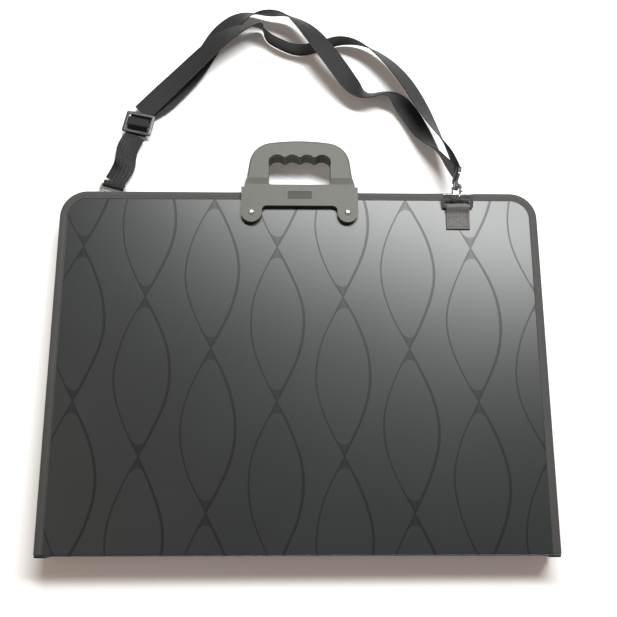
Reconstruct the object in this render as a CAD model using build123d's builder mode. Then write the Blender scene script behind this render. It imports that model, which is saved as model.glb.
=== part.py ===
from build123d import *
import math
import os

# Zipped portfolio case lying on its back: +X to the right, +Y towards the handle, +Z out of
# the front panel. All sizes are in millimetres. Z = 0 is the surface that the case lies on.

# ---- case shell ----
spine_reach = 277.0  # from the frame's origin to the spine edge
case_width = 650.0
case_height = 480.0
case_thickness = 36.0
corner_radius = 36.0
panel_thickness = 1.8
binding_width = 11.0
binding_face = 0.8
binding_edge = 1.0

# ---- folding spine ----
fold_clearance = 1.2
spine_binding_width = 15.0
spine_binding_rise = 2.0
spine_binding_inner = 0.8
fold_relief = 2.6

# ---- zip ----
tape_inset = 3.2
tape_thickness = 0.8
coil_thickness = 2.4
coil_height = 2.2
coil_gap = 1.4
coil_end = 6.0
stop_length = 3.6
slider_length = 13.0
slider_width = 9.6
slider_plate = 1.3
slider_clearance = 0.35
slider_post = 0.8
slider_meeting_x = -129.0
slider_spacing = 14.0
bridge_height = 3.1
bridge_opening = 1.9
bridge_wall = 1.25
bridge_width = 2.4
pull_length = 26.0
pull_width = 6.0
pull_thickness = 1.2
pull_knuckle = 0.85
pull_slot = 4.2
pull_slot_width = 3.4
pull_lift = 9.0

# ---- handle ----
grip_rise = 80.0
plate_thickness = 6.5
plate_half = 79.5
rivet_x = 65.5
rivet_drop = 31.5
lug_radius = 14.0
notch_drop = 22.0
notch_fillet = 7.0
leg_base_half = 77.0
leg_top_half = 67.0
grip_radius = 34.0
grip_crown = 8.0
grip_rounding = 3.0
grip_thickness = 13.0
grip_gap = 1.0
step_start = 6.0
step_length = 14.0
hole_half = 43.0
hole_low = 8.5
hole_high = 55.0
scallop_radius = 12.0
scallop_rise = 3.5
scallop_pitch = 21.0
label_width = 33.0
label_height = 11.0
label_drop = 7.0
label_depth = 0.6
rivet_shank = 2.0
rivet_clearance = 0.1
rivet_head_radius = 4.2
rivet_head = 3.0
rivet_dome = 2.6
washer_radius = 6.0
washer_thickness = 1.0
shank_tail = 0.5

# ---- webbing tabs and rings ----
webbing_width = 30.0
webbing_thickness = 1.5
tab_width = 32.0
tab_length = 31.0
tab_x = 216.0
tab_inset = 21.5
back_tab_x = -270.0
ring_thickness = 1.6
ring_near_bar = 4.0
ring_far_bar = 6.0
ring_side = 4.0
ring_clearance = 1.0
ring_opening_width = tab_width + 2 * ring_clearance
ring_opening = 9.5
ring_tilt = 27.0
back_ring_tilt = -5.3
loop_bore = 2.45

# ---- snap hooks ----
right_hook_roll = -45.0
left_hook_roll = 25.4
right_bar_at = 5.3
left_bar_at = 8.0
hook_wire = 1.15
hook_half = 6.3
hook_shoulder = 20.0
shoulder_height = 3.6
hook_tip = 7.6
gate_gap = 0.4
gate_radius = 1.1
gate_pivot = 17.2
gate_knuckle = 1.6
gate_knuckle_width = 1.6
lever_reach = 3.8
lever_high = 13.0
lever_low = 8.8
lever_tip = 1.5
ear_thickness = 0.7
ear_radius = 1.6
ear_gap = 0.25
pin_radius = 0.6
pin_clearance = 0.05
barrel_radius = 3.4
barrel_end = 29.0
stem_radius = 1.6
stem_clearance = 0.1
eye_wire = 2.6
eye_start = 30.0
eye_opening = 6.2
eye_clearance = 0.9
eye_half = webbing_width / 2 + eye_clearance

# ---- strap adjuster ----
glide_x = -233.0
glide_y = 323.0
glide_z = 10.0
glide_turn = -12.0
glide_thickness = 3.0
glide_slot = 10.0
glide_clearance = 1.5
glide_side = 4.5
glide_slot_width = webbing_width + 2 * glide_clearance
glide_width = glide_slot_width + 2 * glide_side
glide_centre_bar = 3.6
glide_outer_bar = 4.5
layer_gap = 0.35

# ---- levels and edges that follow ----
back_outer = plate_thickness + rivet_head + binding_face
mid_z = back_outer + case_thickness / 2
front_outer = back_outer + case_thickness
front_inner = front_outer - panel_thickness
front_leg = front_inner - binding_face
bottom_edge = -spine_reach
top_edge = bottom_edge + case_height
spine_y = bottom_edge + spine_binding_rise + panel_thickness / 2
panel_bottom = spine_y + fold_clearance
back_fold_z = back_outer + panel_thickness / 2
front_fold_z = front_outer - panel_thickness / 2
half_width = case_width / 2
coil_low = mid_z + coil_gap / 2
coil_high = coil_low + coil_height
tape_mid = tape_inset + tape_thickness / 2
rivet_y = top_edge - rivet_drop
mid_plane = Plane.XY.offset(mid_z)

os.makedirs("parts", exist_ok=True)
written = []


def save(part, name):
    """Label one finished piece and write its STEP file."""
    part.label = name
    export_step(part, f"parts/{name}.step")
    written.append(name)


def save_pair(part, name):
    """Write a front piece, and its twin mirrored through the middle of the case for the back."""
    save(part, f"front_{name}")
    with BuildPart() as twin:
        add(mirror(part, about=mid_plane, mode=Mode.PRIVATE))
    save(twin.part, f"back_{name}")


def panel_face(inset, bottom):
    """Outline of the case seen from the front, inset from its edge, with round top corners."""
    high = top_edge - inset
    with BuildSketch(Plane.XY, mode=Mode.PRIVATE) as face:
        with Locations((0, (bottom + high) / 2)):
            Rectangle(case_width - 2 * inset, high - bottom)
        fillet(face.vertices().group_by(Axis.Y)[-1], radius=corner_radius - inset)
    return face.sketch


def rim_band(outer_inset, inner_inset, bottom, low, high):
    """A wall round the left, top and right sides between two insets, open at the spine."""
    with BuildPart(mode=Mode.PRIVATE) as band:
        with BuildSketch(Plane.XY.offset(low)):
            add(panel_face(outer_inset, bottom))
            add(panel_face(inner_inset, bottom - 60), mode=Mode.SUBTRACT)
        extrude(amount=high - low)
    return band.part


# ---- front and back panels: sheet with rivet holes for the handle ----
with BuildPart() as panel:
    with BuildSketch(Plane.XY.offset(front_inner)):
        add(panel_face(binding_edge, panel_bottom))
        with Locations((-rivet_x, rivet_y), (rivet_x, rivet_y)):
            Circle(rivet_shank + rivet_clearance, mode=Mode.SUBTRACT)
    extrude(amount=panel_thickness)
save_pair(panel.part, "panel")

# ---- edge binding: tape folded round three edges of each panel ----
with BuildPart() as binding:
    add(rim_band(0, binding_width, panel_bottom, front_leg, front_outer + binding_face))
    with BuildSketch(Plane.XY.offset(front_inner)):
        add(panel_face(binding_edge, panel_bottom - 10))
    extrude(amount=panel_thickness, mode=Mode.SUBTRACT)
save_pair(binding.part, "binding")

# ---- zip tape and coil, half on each panel ----
tape_bottom = spine_y + coil_end - stop_length
with BuildPart() as tape:
    add(rim_band(tape_inset, tape_inset + tape_thickness, tape_bottom, coil_high, front_leg))
save_pair(tape.part, "zip_tape")

with BuildPart() as coil:
    add(rim_band(tape_mid - coil_thickness / 2, tape_mid + coil_thickness / 2,
                 spine_y + coil_end, coil_low, coil_high))
save_pair(coil.part, "zip_coil")

with BuildPart() as stops:
    with BuildSketch(Plane.XY.offset(coil_low)):
        with Locations((-half_width + tape_mid, tape_bottom + stop_length / 2),
                       (half_width - tape_mid, tape_bottom + stop_length / 2)):
            Rectangle(coil_thickness + 1.0, stop_length)
    extrude(amount=coil_height)
save_pair(stops.part, "zip_stops")

# ---- spine: strip between two living hinges, each a round bead on the fold's own axis ----
with BuildPart() as spine_panel:
    with BuildSketch(Plane.YZ.offset(-half_width + binding_edge)):
        with Locations((spine_y, mid_z)):
            SlotCenterToCenter(front_fold_z - back_fold_z, panel_thickness, rotation=90)
    extrude(amount=case_width - 2 * binding_edge)
save(spine_panel.part, "spine_panel")

spine_low = back_fold_z + fold_relief
spine_high = front_fold_z - fold_relief
binding_out = spine_y - panel_thickness / 2 - spine_binding_rise
binding_in = spine_y + panel_thickness / 2 + spine_binding_inner
with BuildPart() as spine_bindings:
    for side in (-1, 1):
        with BuildSketch(Plane.XY.offset(spine_low)):
            with Locations((side * (half_width - spine_binding_width / 2),
                            (binding_out + binding_in) / 2)):
                Rectangle(spine_binding_width, binding_in - binding_out)
            with Locations((side * (half_width - binding_edge - spine_binding_width), spine_y)):
                Rectangle(2 * spine_binding_width, panel_thickness, mode=Mode.SUBTRACT)
        extrude(amount=spine_high - spine_low)
save(spine_bindings.part, "spine_bindings")

# ---- handle: plate on the panel, legs that step in to the middle, grip with finger scallops ----
plate_low = front_outer + binding_face
plate_high = plate_low + plate_thickness
grip_low = mid_z + grip_gap / 2
grip_high = grip_low + grip_thickness
step_low = top_edge + step_start
grip_top = top_edge + grip_rise

with BuildPart() as handle:
    with BuildSketch(Plane.YZ.offset(-plate_half)):
        with BuildLine():
            Polyline((rivet_y - lug_radius, plate_low), (step_low, plate_low),
                     (step_low + step_length, grip_low), (grip_top, grip_low),
                     (grip_top, grip_high), (step_low + step_length + 3, grip_high),
                     (step_low + 3, plate_high), (rivet_y - lug_radius, plate_high), close=True)
        make_face()
    extrude(amount=2 * plate_half)
    with BuildSketch(Plane.XY) as plan:
        with BuildLine():
            Polyline((-leg_top_half, grip_top - grip_crown), (-leg_base_half, top_edge - 5),
                     (leg_base_half, top_edge - 5), (leg_top_half, grip_top - grip_crown))
            ThreePointArc((leg_top_half, grip_top - grip_crown), (0, grip_top),
                          (-leg_top_half, grip_top - grip_crown))
        make_face()
        fillet(plan.vertices().group_by(Axis.Y)[-1], radius=grip_radius)
        with Locations((0, (rivet_y + step_low - 1) / 2)):
            Rectangle(2 * plate_half, step_low - 1 - rivet_y)
        with Locations((-rivet_x, rivet_y), (rivet_x, rivet_y)):
            Circle(lug_radius)
        with Locations((0, top_edge - notch_drop - 30)):
            Rectangle(2 * (rivet_x - lug_radius), 60, mode=Mode.SUBTRACT)
        notch_corners = [v for v in plan.vertices()
                         if abs(v.Y - (top_edge - notch_drop)) < 0.1 and abs(v.X) < rivet_x]
        fillet(notch_corners, radius=notch_fillet)
        with Locations((-rivet_x, rivet_y), (rivet_x, rivet_y)):
            Circle(rivet_shank + rivet_clearance, mode=Mode.SUBTRACT)
    extrude(amount=plate_high + 10, mode=Mode.INTERSECT)
    with BuildSketch(Plane.XY) as hand_hole:
        with Locations((0, top_edge + (hole_low + hole_high) / 2)):
            RectangleRounded(2 * hole_half, hole_high - hole_low, 5)
        scallop_y = top_edge + hole_high + scallop_rise - scallop_radius
        with Locations(*[((i - 1.5) * scallop_pitch, scallop_y) for i in range(4)]):
            Circle(scallop_radius)
    extrude(amount=plate_high + 10, mode=Mode.SUBTRACT)
    grip_rim = [edge for edge in handle.edges().filter_by_position(Axis.Z, grip_high - 0.01, grip_high + 0.01)
                if edge.length > grip_thickness + 5
                and (abs(edge.center().X) > hole_half + 2 or edge.center().Y > top_edge + hole_high + 10)]
    fillet(grip_rim, radius=grip_rounding)
    with BuildSketch(Plane.XY.offset(plate_high)):
        with Locations((0, top_edge - label_drop)):
            RectangleRounded(label_width, label_height, 1.5)
    extrude(amount=-label_depth, mode=Mode.SUBTRACT)
save_pair(handle.part, "handle")

# ---- rivets with domed heads, and the washers they are set over inside the case ----
tail_z = front_inner - washer_thickness - shank_tail
with BuildPart() as rivets:
    with BuildSketch(Plane.XY.offset(plate_high)):
        with Locations((-rivet_x, rivet_y), (rivet_x, rivet_y)):
            Circle(rivet_head_radius)
    extrude(amount=rivet_head)
    fillet(rivets.edges().group_by(Axis.Z)[-1], radius=rivet_dome)
    with BuildSketch(Plane.XY.offset(tail_z)):
        with Locations((-rivet_x, rivet_y), (rivet_x, rivet_y)):
            Circle(rivet_shank)
    extrude(amount=plate_high - tail_z)
save_pair(rivets.part, "handle_rivets")

with BuildPart() as washers:
    with BuildSketch(Plane.XY.offset(front_inner - washer_thickness)):
        with Locations((-rivet_x, rivet_y), (rivet_x, rivet_y)):
            Circle(washer_radius)
            Circle(rivet_shank + rivet_clearance, mode=Mode.SUBTRACT)
    extrude(amount=washer_thickness)
save_pair(washers.part, "handle_washers")


# ---- zip sliders: two plates joined by a thin post, a bridge on top, and a hinged pull ----
tape_y = top_edge - tape_mid
channel = coil_thickness / 2 + slider_clearance
bridge_y = tape_y + channel + slider_plate
pull_hinge_y = bridge_y + bridge_opening / 2
bridge_length = pull_slot + 2 * bridge_wall

for name, direction in (("left", -1), ("right", 1)):
    slider_x = slider_meeting_x + direction * slider_spacing / 2
    with BuildPart() as slider:
        with BuildSketch(Plane.XY.offset(mid_z - slider_width / 2)):
            with Locations((slider_x, tape_y + channel + slider_plate / 2),
                           (slider_x, tape_y - channel - slider_plate / 2)):
                Rectangle(slider_length, slider_plate)
        extrude(amount=slider_width)
        fillet(slider.edges().filter_by(Axis.Y), radius=2.5)
        with BuildSketch(Plane.XY.offset(mid_z - slider_post / 2)):
            with Locations((slider_x + direction * (slider_length / 2 - 3.5), tape_y)):
                Rectangle(2.5, 2 * channel + slider_plate)
        extrude(amount=slider_post)
        with BuildSketch(Plane.XY.offset(mid_z - bridge_width / 2)):
            with Locations((slider_x, bridge_y + bridge_height / 2 - 0.2)):
                Rectangle(bridge_length, bridge_height + 0.4)
            with Locations((slider_x, bridge_y + bridge_opening / 2)):
                Rectangle(pull_slot, bridge_opening, mode=Mode.SUBTRACT)
        extrude(amount=bridge_width)
    save(slider.part, f"{name}_zip_slider")

    lift = math.radians(pull_lift)
    pull_plane = Plane(origin=(slider_x, pull_hinge_y, mid_z),
                       x_dir=(direction * math.cos(lift), math.sin(lift), 0),
                       z_dir=(-direction * math.sin(lift), math.cos(lift), 0))
    bar = pull_thickness / 2
    with BuildPart() as pull:
        with BuildSketch(pull_plane.offset(-bar)):
            with Locations((pull_length / 2 - bar, 0)):
                RectangleRounded(pull_length, pull_width, 1.4)
            with Locations((bar + pull_slot / 2, 0)):
                Rectangle(pull_slot, pull_slot_width, mode=Mode.SUBTRACT)
        extrude(amount=pull_thickness)
        knuckle_plane = Plane(origin=pull_plane.origin, z_dir=pull_plane.y_dir)
        with BuildSketch(knuckle_plane):
            Circle(pull_knuckle)
        extrude(amount=pull_width / 2, both=True)
    save(pull.part, f"{name}_zip_pull")


# ---- webbing folded round a bar: the bar is at the plane's origin, local X runs along the
# webbing, and the two layers lie on each other past the loop ----
def webbing_loop(plane, reach, width, bore):
    """Two layers of webbing closed round a bar, with the lower layer straight."""
    outer = bore + webbing_thickness
    slope = 4.5 * bore
    with BuildPart(mode=Mode.PRIVATE) as loop:
        with BuildSketch(plane):
            Circle(outer)
            with BuildLine():
                Polyline((0, outer), (slope + 1, webbing_thickness - bore),
                         (reach, webbing_thickness - bore), (reach, -outer), (0, -outer), close=True)
            make_face()
            Circle(bore, mode=Mode.SUBTRACT)
            with BuildLine():
                Polyline((0, bore), (slope, -bore), (0, -bore), close=True)
            make_face(mode=Mode.SUBTRACT)
        extrude(amount=width / 2, both=True)
    return loop.part


# ---- tabs sewn to the panels, and the rings in them ----
near_bar_y = top_edge - tab_inset
loop_rise = loop_bore + webbing_thickness
far_bar_reach = ring_near_bar / 2 + ring_opening + ring_far_bar / 2


def ring_solid(x, z, tilt):
    """Flat rectangular ring whose near bar lies in a tab at x and height z."""
    turn = math.radians(tilt)
    plane = Plane(origin=(x, near_bar_y, z), x_dir=(1, 0, 0),
                  z_dir=(0, -math.sin(turn), math.cos(turn)))
    length = ring_near_bar + ring_opening + ring_far_bar
    with BuildPart(mode=Mode.PRIVATE) as ring:
        with BuildSketch(plane.offset(-ring_thickness / 2)):
            with Locations((0, length / 2 - ring_near_bar / 2)):
                RectangleRounded(ring_opening_width + 2 * ring_side, length, 2.5)
            with Locations((0, (ring_near_bar + ring_opening) / 2)):
                RectangleRounded(ring_opening_width, ring_opening, 1.0, mode=Mode.SUBTRACT)
        extrude(amount=ring_thickness)
        fillet(ring.edges().filter_by(GeomType.LINE).filter_by(Axis.X), radius=0.7)
    return ring.part


front_bar_z = front_outer + loop_rise
back_bar_z = back_outer - loop_rise
front_tab_plane = Plane(origin=(tab_x, near_bar_y, front_bar_z), x_dir=(0, -1, 0), z_dir=(-1, 0, 0))
back_tab_plane = Plane(origin=(back_tab_x, near_bar_y, back_bar_z), x_dir=(0, -1, 0), z_dir=(1, 0, 0))
front_tab = webbing_loop(front_tab_plane, tab_length, tab_width, loop_bore)
save(front_tab, "front_tab")
back_tab = webbing_loop(back_tab_plane, tab_length, tab_width, loop_bore)
save(back_tab, "back_tab")
save(ring_solid(tab_x, front_bar_z, ring_tilt), "front_ring")
save(ring_solid(back_tab_x, back_bar_z, back_ring_tilt), "back_ring")


def far_bar_centre(x, z, tilt):
    """Middle of a ring's outer bar."""
    turn = math.radians(tilt)
    return Vector(x, near_bar_y + far_bar_reach * math.cos(turn), z + far_bar_reach * math.sin(turn))


# ---- snap hooks: claw with swivel barrel, sprung gate on a pin, and an eye for the webbing ----
eye_far_bar = eye_start + eye_wire + eye_opening + eye_wire / 2
turn_bore = 2.0
turn_offset = turn_bore + webbing_thickness / 2
turn_reach = 6.0


def hook_frame(bar, along, roll, bar_at):
    """Plane of a claw: local Y is the hook's length, local X points from the back leg to the gate."""
    length_dir = Vector(*along).normalized()
    level = length_dir.cross(Vector(0, 0, 1)).normalized()
    cross = level.rotate(Axis((0, 0, 0), tuple(length_dir)), roll)
    origin = bar - length_dir * bar_at
    return Plane(origin=origin, x_dir=cross, z_dir=cross.cross(length_dir)), length_dir


def build_hook(name, claw_plane, eye_plane):
    """Write one snap hook's pieces and return nothing."""
    barrel_plane = Plane(origin=claw_plane.from_local_coords((0, hook_shoulder, 0)),
                         x_dir=claw_plane.x_dir, z_dir=claw_plane.y_dir)
    ear_inner = gate_knuckle_width / 2 + ear_gap
    with BuildPart() as claw:
        with BuildLine(claw_plane) as wire_path:
            Line((-hook_half, hook_shoulder + 1), (-hook_half, hook_half))
            ThreePointArc((-hook_half, hook_half), (0, 0), (hook_half, hook_half))
            Line((hook_half, hook_half), (hook_half, hook_tip))
        path = wire_path.wires()[0]
        with BuildSketch(Plane(origin=path @ 0, z_dir=path % 0)):
            Circle(hook_wire)
        sweep(path=path)
        with BuildSketch(claw_plane.offset(-hook_wire)):
            with Locations((0, hook_shoulder + shoulder_height / 2)):
                RectangleRounded(2 * (hook_half + hook_wire), shoulder_height, 1.2)
        extrude(amount=2 * hook_wire)
        with BuildSketch(barrel_plane):
            Circle(barrel_radius)
        extrude(amount=barrel_end - hook_shoulder)
        for level in (ear_inner, -ear_inner - ear_thickness):
            with BuildSketch(claw_plane.offset(level)):
                with Locations((hook_half, gate_pivot)):
                    Circle(ear_radius)
                with Locations((hook_half, (gate_pivot + hook_shoulder + 1) / 2)):
                    Rectangle(2 * ear_radius, hook_shoulder + 1 - gate_pivot)
            extrude(amount=ear_thickness)
        with BuildSketch(claw_plane.offset(-ear_inner - ear_thickness)):
            with Locations((hook_half, gate_pivot)):
                Circle(pin_radius)
        extrude(amount=2 * (ear_inner + ear_thickness))
        with BuildSketch(barrel_plane.offset(-1)):
            Circle(stem_radius + stem_clearance)
        extrude(amount=barrel_end - hook_shoulder + 2, mode=Mode.SUBTRACT)
    save(claw.part, f"{name}_hook_claw")

    with BuildPart() as gate:
        with BuildSketch(claw_plane.offset(-gate_knuckle_width / 2)):
            with Locations((hook_half, gate_pivot)):
                Circle(gate_knuckle)
            with Locations((hook_half, (gate_pivot + hook_tip + gate_gap) / 2)):
                Rectangle(2 * gate_radius, gate_pivot - hook_tip - gate_gap)
            with BuildLine():
                Polyline((hook_half, lever_high), (hook_half + lever_reach, lever_low + lever_tip),
                         (hook_half + lever_reach, lever_low), (hook_half, lever_high - 2 * lever_tip),
                         close=True)
            make_face()
            with Locations((hook_half, gate_pivot)):
                Circle(pin_radius + pin_clearance, mode=Mode.SUBTRACT)
        extrude(amount=gate_knuckle_width)
    save(gate.part, f"{name}_hook_gate")

    stem_plane = Plane(origin=eye_plane.from_local_coords((0, hook_shoulder - 2.6, 0)),
                       x_dir=eye_plane.x_dir, z_dir=eye_plane.y_dir)
    with BuildPart() as eye:
        with BuildSketch(eye_plane.offset(-eye_wire / 2)):
            with Locations((0, eye_start + (2 * eye_wire + eye_opening) / 2)):
                RectangleRounded(2 * (eye_half + eye_wire), 2 * eye_wire + eye_opening, 2.2)
                Rectangle(2 * eye_half, eye_opening, mode=Mode.SUBTRACT)
        extrude(amount=eye_wire)
        fillet(eye.edges().filter_by(lambda e: e.geom_type == GeomType.LINE
                                     and abs(e.length - 2 * eye_half) < 0.01), radius=0.6)
        with BuildSketch(stem_plane):
            Circle(2.6)
        extrude(amount=2.2)
        with BuildSketch(stem_plane.offset(1)):
            Circle(stem_radius)
        extrude(amount=eye_start - hook_shoulder + 2.6 - 0.5)
    save(eye.part, f"{name}_hook_eye")


right_bar = far_bar_centre(tab_x - 3, front_bar_z, ring_tilt)
left_bar = far_bar_centre(back_tab_x - 3, back_bar_z, back_ring_tilt)
right_claw_plane, right_along = hook_frame(right_bar, (0.13, 0.95, -0.28), right_hook_roll, right_bar_at)
left_claw_plane, left_along = hook_frame(left_bar, (0.26, 0.966, 0), left_hook_roll, left_bar_at)
right_up = (Vector(0, 0, 1) - right_along * right_along.Z).normalized()
right_eye_plane = Plane(origin=right_claw_plane.origin, x_dir=right_up, z_dir=right_up.cross(right_along))
left_level = left_along.cross(Vector(0, 0, 1)).normalized()
left_eye_plane = Plane(origin=left_claw_plane.origin, x_dir=left_level, z_dir=left_level.cross(left_along))
build_hook("right", right_claw_plane, right_eye_plane)
build_hook("left", left_claw_plane, left_eye_plane)


# ---- webbing turned round each eye's outer bar, both layers straight past it ----
def webbing_turn(name, eye_plane):
    """Write the U-shaped webbing on an eye and return the middle of each layer's end."""
    bar_point = eye_plane.from_local_coords((0, eye_far_bar, 0))
    plane = Plane(origin=bar_point, x_dir=eye_plane.y_dir, z_dir=-eye_plane.x_dir)
    outer = turn_bore + webbing_thickness
    with BuildPart() as turn:
        with BuildSketch(plane):
            Circle(outer)
            with Locations((turn_reach / 2, 0)):
                Rectangle(turn_reach, 2 * outer)
            Circle(turn_bore, mode=Mode.SUBTRACT)
            with Locations((turn_reach / 2, 0)):
                Rectangle(turn_reach, 2 * turn_bore, mode=Mode.SUBTRACT)
        extrude(amount=webbing_width / 2, both=True)
    save(turn.part, name)
    return [plane.from_local_coords((turn_reach, side * turn_offset, 0)) for side in (1, -1)]


right_ends = webbing_turn("strap_right_turn", right_eye_plane)
left_ends = webbing_turn("strap_left_turn", left_eye_plane)

# ---- strap adjuster and the webbing woven through it ----
turn = math.radians(glide_turn)
glide_bar_dir = Vector(math.cos(turn), math.sin(turn), 0)
glide_along = Vector(-math.sin(turn), math.cos(turn), 0)
glide_centre = Vector(glide_x, glide_y, glide_z)
glide_plane = Plane(origin=glide_centre, x_dir=glide_bar_dir, z_dir=(0, 0, 1))
weave_plane = Plane(origin=glide_centre, x_dir=glide_along, z_dir=glide_along.cross(Vector(0, 0, 1)))
half_bar = glide_centre_bar / 2
glide_length = glide_centre_bar + 2 * glide_slot + 2 * glide_outer_bar
with BuildPart() as glide:
    with BuildSketch(glide_plane.offset(-glide_thickness / 2)):
        RectangleRounded(glide_width, glide_length, 3)
        with Locations((0, half_bar + glide_slot / 2), (0, -half_bar - glide_slot / 2)):
            Rectangle(glide_slot_width, glide_slot, mode=Mode.SUBTRACT)
    extrude(amount=glide_thickness)
save(glide.part, "strap_adjuster")

weave_end = 18.0
half_web = webbing_thickness / 2
half_glide = glide_thickness / 2
under_bar = -half_glide - layer_gap - half_web
sewn_low = under_bar - webbing_thickness - layer_gap
sewn_in = half_glide + layer_gap
side_layer = half_bar + layer_gap + half_web
top_layer = sewn_in + half_web
with BuildPart() as sewn_loop:
    with BuildSketch(weave_plane):
        with BuildLine():
            FilletPolyline((weave_end, sewn_low), (8.5, sewn_low), (4.5, -top_layer), (-side_layer, -top_layer),
                           (-side_layer, top_layer), (side_layer, top_layer), (side_layer, -top_layer + 1.3),
                           radius=1.0)
        trace(line_width=webbing_thickness)
    extrude(amount=webbing_width / 2, both=True)
save(sewn_loop.part, "strap_sewn_loop")

over_bar = top_layer + webbing_thickness + layer_gap
with BuildPart() as weave:
    with BuildSketch(weave_plane):
        with BuildLine():
            FilletPolyline((weave_end, under_bar), (half_bar + glide_slot - 1.4, under_bar),
                           (half_bar + 3.4, over_bar), (-half_bar - 3.4, over_bar),
                           (-half_bar - glide_slot + 1.4, under_bar), (-weave_end, under_bar), radius=1.5)
        trace(line_width=webbing_thickness)
    extrude(amount=webbing_width / 2, both=True)
save(weave.part, "strap_weave")


# ---- free stretches of the strap: stations of place and roll, with straight webbing between.
# A roll of 0 lies flat, and a positive roll raises the left edge seen along the route ----
outer_route = [
    (-205, 366, 10, 0), (-172, 398, 16, 8), (-140, 428, 24, 12), (-112, 452, 31, 22),
    (-80, 472, 31, 42), (-57, 480, 22, 75), (-51, 464, 17, 90), (-36, 453, 17, 90),
    (-4, 438, 17, 90), (28, 446, 17, 90), (60, 459, 17, 85), (94, 451, 20, 65),
    (126, 424, 24, 45), (152, 390, 27, 35), (172, 352, 29, 35), (190, 315, 30, 50),
    (205, 282, 35, 72), (215, 256, 42, 88),
]
inner_route = [
    (-206, 350, 4.5, 0), (-180, 378, 5, 0), (-154, 408, 7, 8), (-137, 440, 8, 5),
    (-117, 474, 12, 12), (-88, 498, 14, 24), (-52, 499, 23, 80), (-18, 494, 28, 62),
    (6, 470, 36, 32), (28, 440, 40, 14), (52, 408, 36, 10), (76, 378, 24, 12),
    (98, 366, 16, 50), (124, 374, 16, 60), (144, 366, 11, 25), (160, 344, 9, 5),
    (176, 314, 10, 15), (191, 286, 18, 50), (204, 258, 34, 84),
]
short_route = [(-246, 290, 9, 12), (-248, 272, 13, 30), (-249, 256, 11, 18), (-257, 243, 8, 4)]


def ribbon(name, start, route, finish):
    """Write one stretch of webbing; start and finish are (place, direction, roll) of its ends."""
    places = [start[0]] + [Vector(*point[:3]) for point in route] + [finish[0]]
    rolls = [start[2]] + [point[3] for point in route] + [finish[2]]
    directions = [start[1]]
    for before, after in zip(places[:-2], places[2:]):
        directions.append((after - before).normalized())
    directions.append(finish[1])
    sections = []
    for place, along, roll in zip(places, directions, rolls):
        level = Vector(0, 0, 1).cross(along).normalized()
        across = level.rotate(Axis((0, 0, 0), tuple(along)), -roll)
        normal = along.cross(across)
        sections.append([place + across * (i * webbing_width / 2) + normal * (j * half_web)
                         for i, j in ((-1, -1), (1, -1), (1, 1), (-1, 1))])
    faces = [Face(Wire.make_polygon(sections[0])), Face(Wire.make_polygon(sections[-1]))]
    for here, there in zip(sections[:-1], sections[1:]):
        for i, k in ((0, 1), (1, 2), (3, 2), (0, 3)):
            faces.append(Face(Wire.make_polygon([here[i], here[k], there[k]])))
            faces.append(Face(Wire.make_polygon([here[i], there[k], there[i]])))
    solid = Solid(Shell(faces))
    with BuildPart() as web:
        add(solid)
    save(web.part, name)


outer_start = weave_plane.from_local_coords((weave_end, under_bar, 0))
inner_start = weave_plane.from_local_coords((weave_end, sewn_low, 0))
short_start = weave_plane.from_local_coords((-weave_end, under_bar, 0))
ribbon("strap_outer", (outer_start, glide_along, 0), outer_route, (right_ends[0], -right_along, 90))
ribbon("strap_inner", (inner_start, glide_along, 0), inner_route, (right_ends[1], -right_along, 90))
ribbon("strap_short", (short_start, -glide_along, 0), short_route, (left_ends[1], -left_along, 0))

print(len(written), "nodes")
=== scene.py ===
"""A zipped portfolio case with paired handles, lying on its back, and its shoulder strap."""

import logging
import math
from collections.abc import Callable, Sequence
from dataclasses import dataclass, field
from enum import Enum

import bmesh
import bpy
from mathutils import Matrix, Vector


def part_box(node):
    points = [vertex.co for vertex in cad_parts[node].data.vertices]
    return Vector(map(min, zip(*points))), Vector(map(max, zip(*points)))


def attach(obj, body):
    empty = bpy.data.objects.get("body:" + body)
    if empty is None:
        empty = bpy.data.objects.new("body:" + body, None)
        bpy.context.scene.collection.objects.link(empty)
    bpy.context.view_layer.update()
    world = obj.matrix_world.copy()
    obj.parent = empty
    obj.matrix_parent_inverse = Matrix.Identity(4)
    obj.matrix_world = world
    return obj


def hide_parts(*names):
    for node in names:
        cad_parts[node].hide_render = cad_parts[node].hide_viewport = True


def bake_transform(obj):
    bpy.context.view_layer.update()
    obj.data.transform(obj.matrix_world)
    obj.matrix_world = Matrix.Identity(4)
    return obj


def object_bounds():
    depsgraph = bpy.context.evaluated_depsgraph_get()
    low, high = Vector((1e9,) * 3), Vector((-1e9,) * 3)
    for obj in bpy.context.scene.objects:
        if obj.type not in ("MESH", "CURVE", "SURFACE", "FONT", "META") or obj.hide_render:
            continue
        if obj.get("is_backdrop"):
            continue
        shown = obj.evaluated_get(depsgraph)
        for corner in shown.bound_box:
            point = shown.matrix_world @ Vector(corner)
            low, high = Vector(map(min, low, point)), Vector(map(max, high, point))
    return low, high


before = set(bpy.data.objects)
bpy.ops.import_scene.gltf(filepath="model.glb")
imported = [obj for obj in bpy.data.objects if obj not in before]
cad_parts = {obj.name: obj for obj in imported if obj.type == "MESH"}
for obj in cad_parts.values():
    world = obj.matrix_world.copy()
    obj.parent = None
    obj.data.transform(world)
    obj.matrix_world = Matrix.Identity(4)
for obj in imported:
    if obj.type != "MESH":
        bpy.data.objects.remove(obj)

log = logging.getLogger("portfolio_case")
Point = tuple[float, float, float]


# ---------------------------------------------------------------- shader maths


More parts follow.
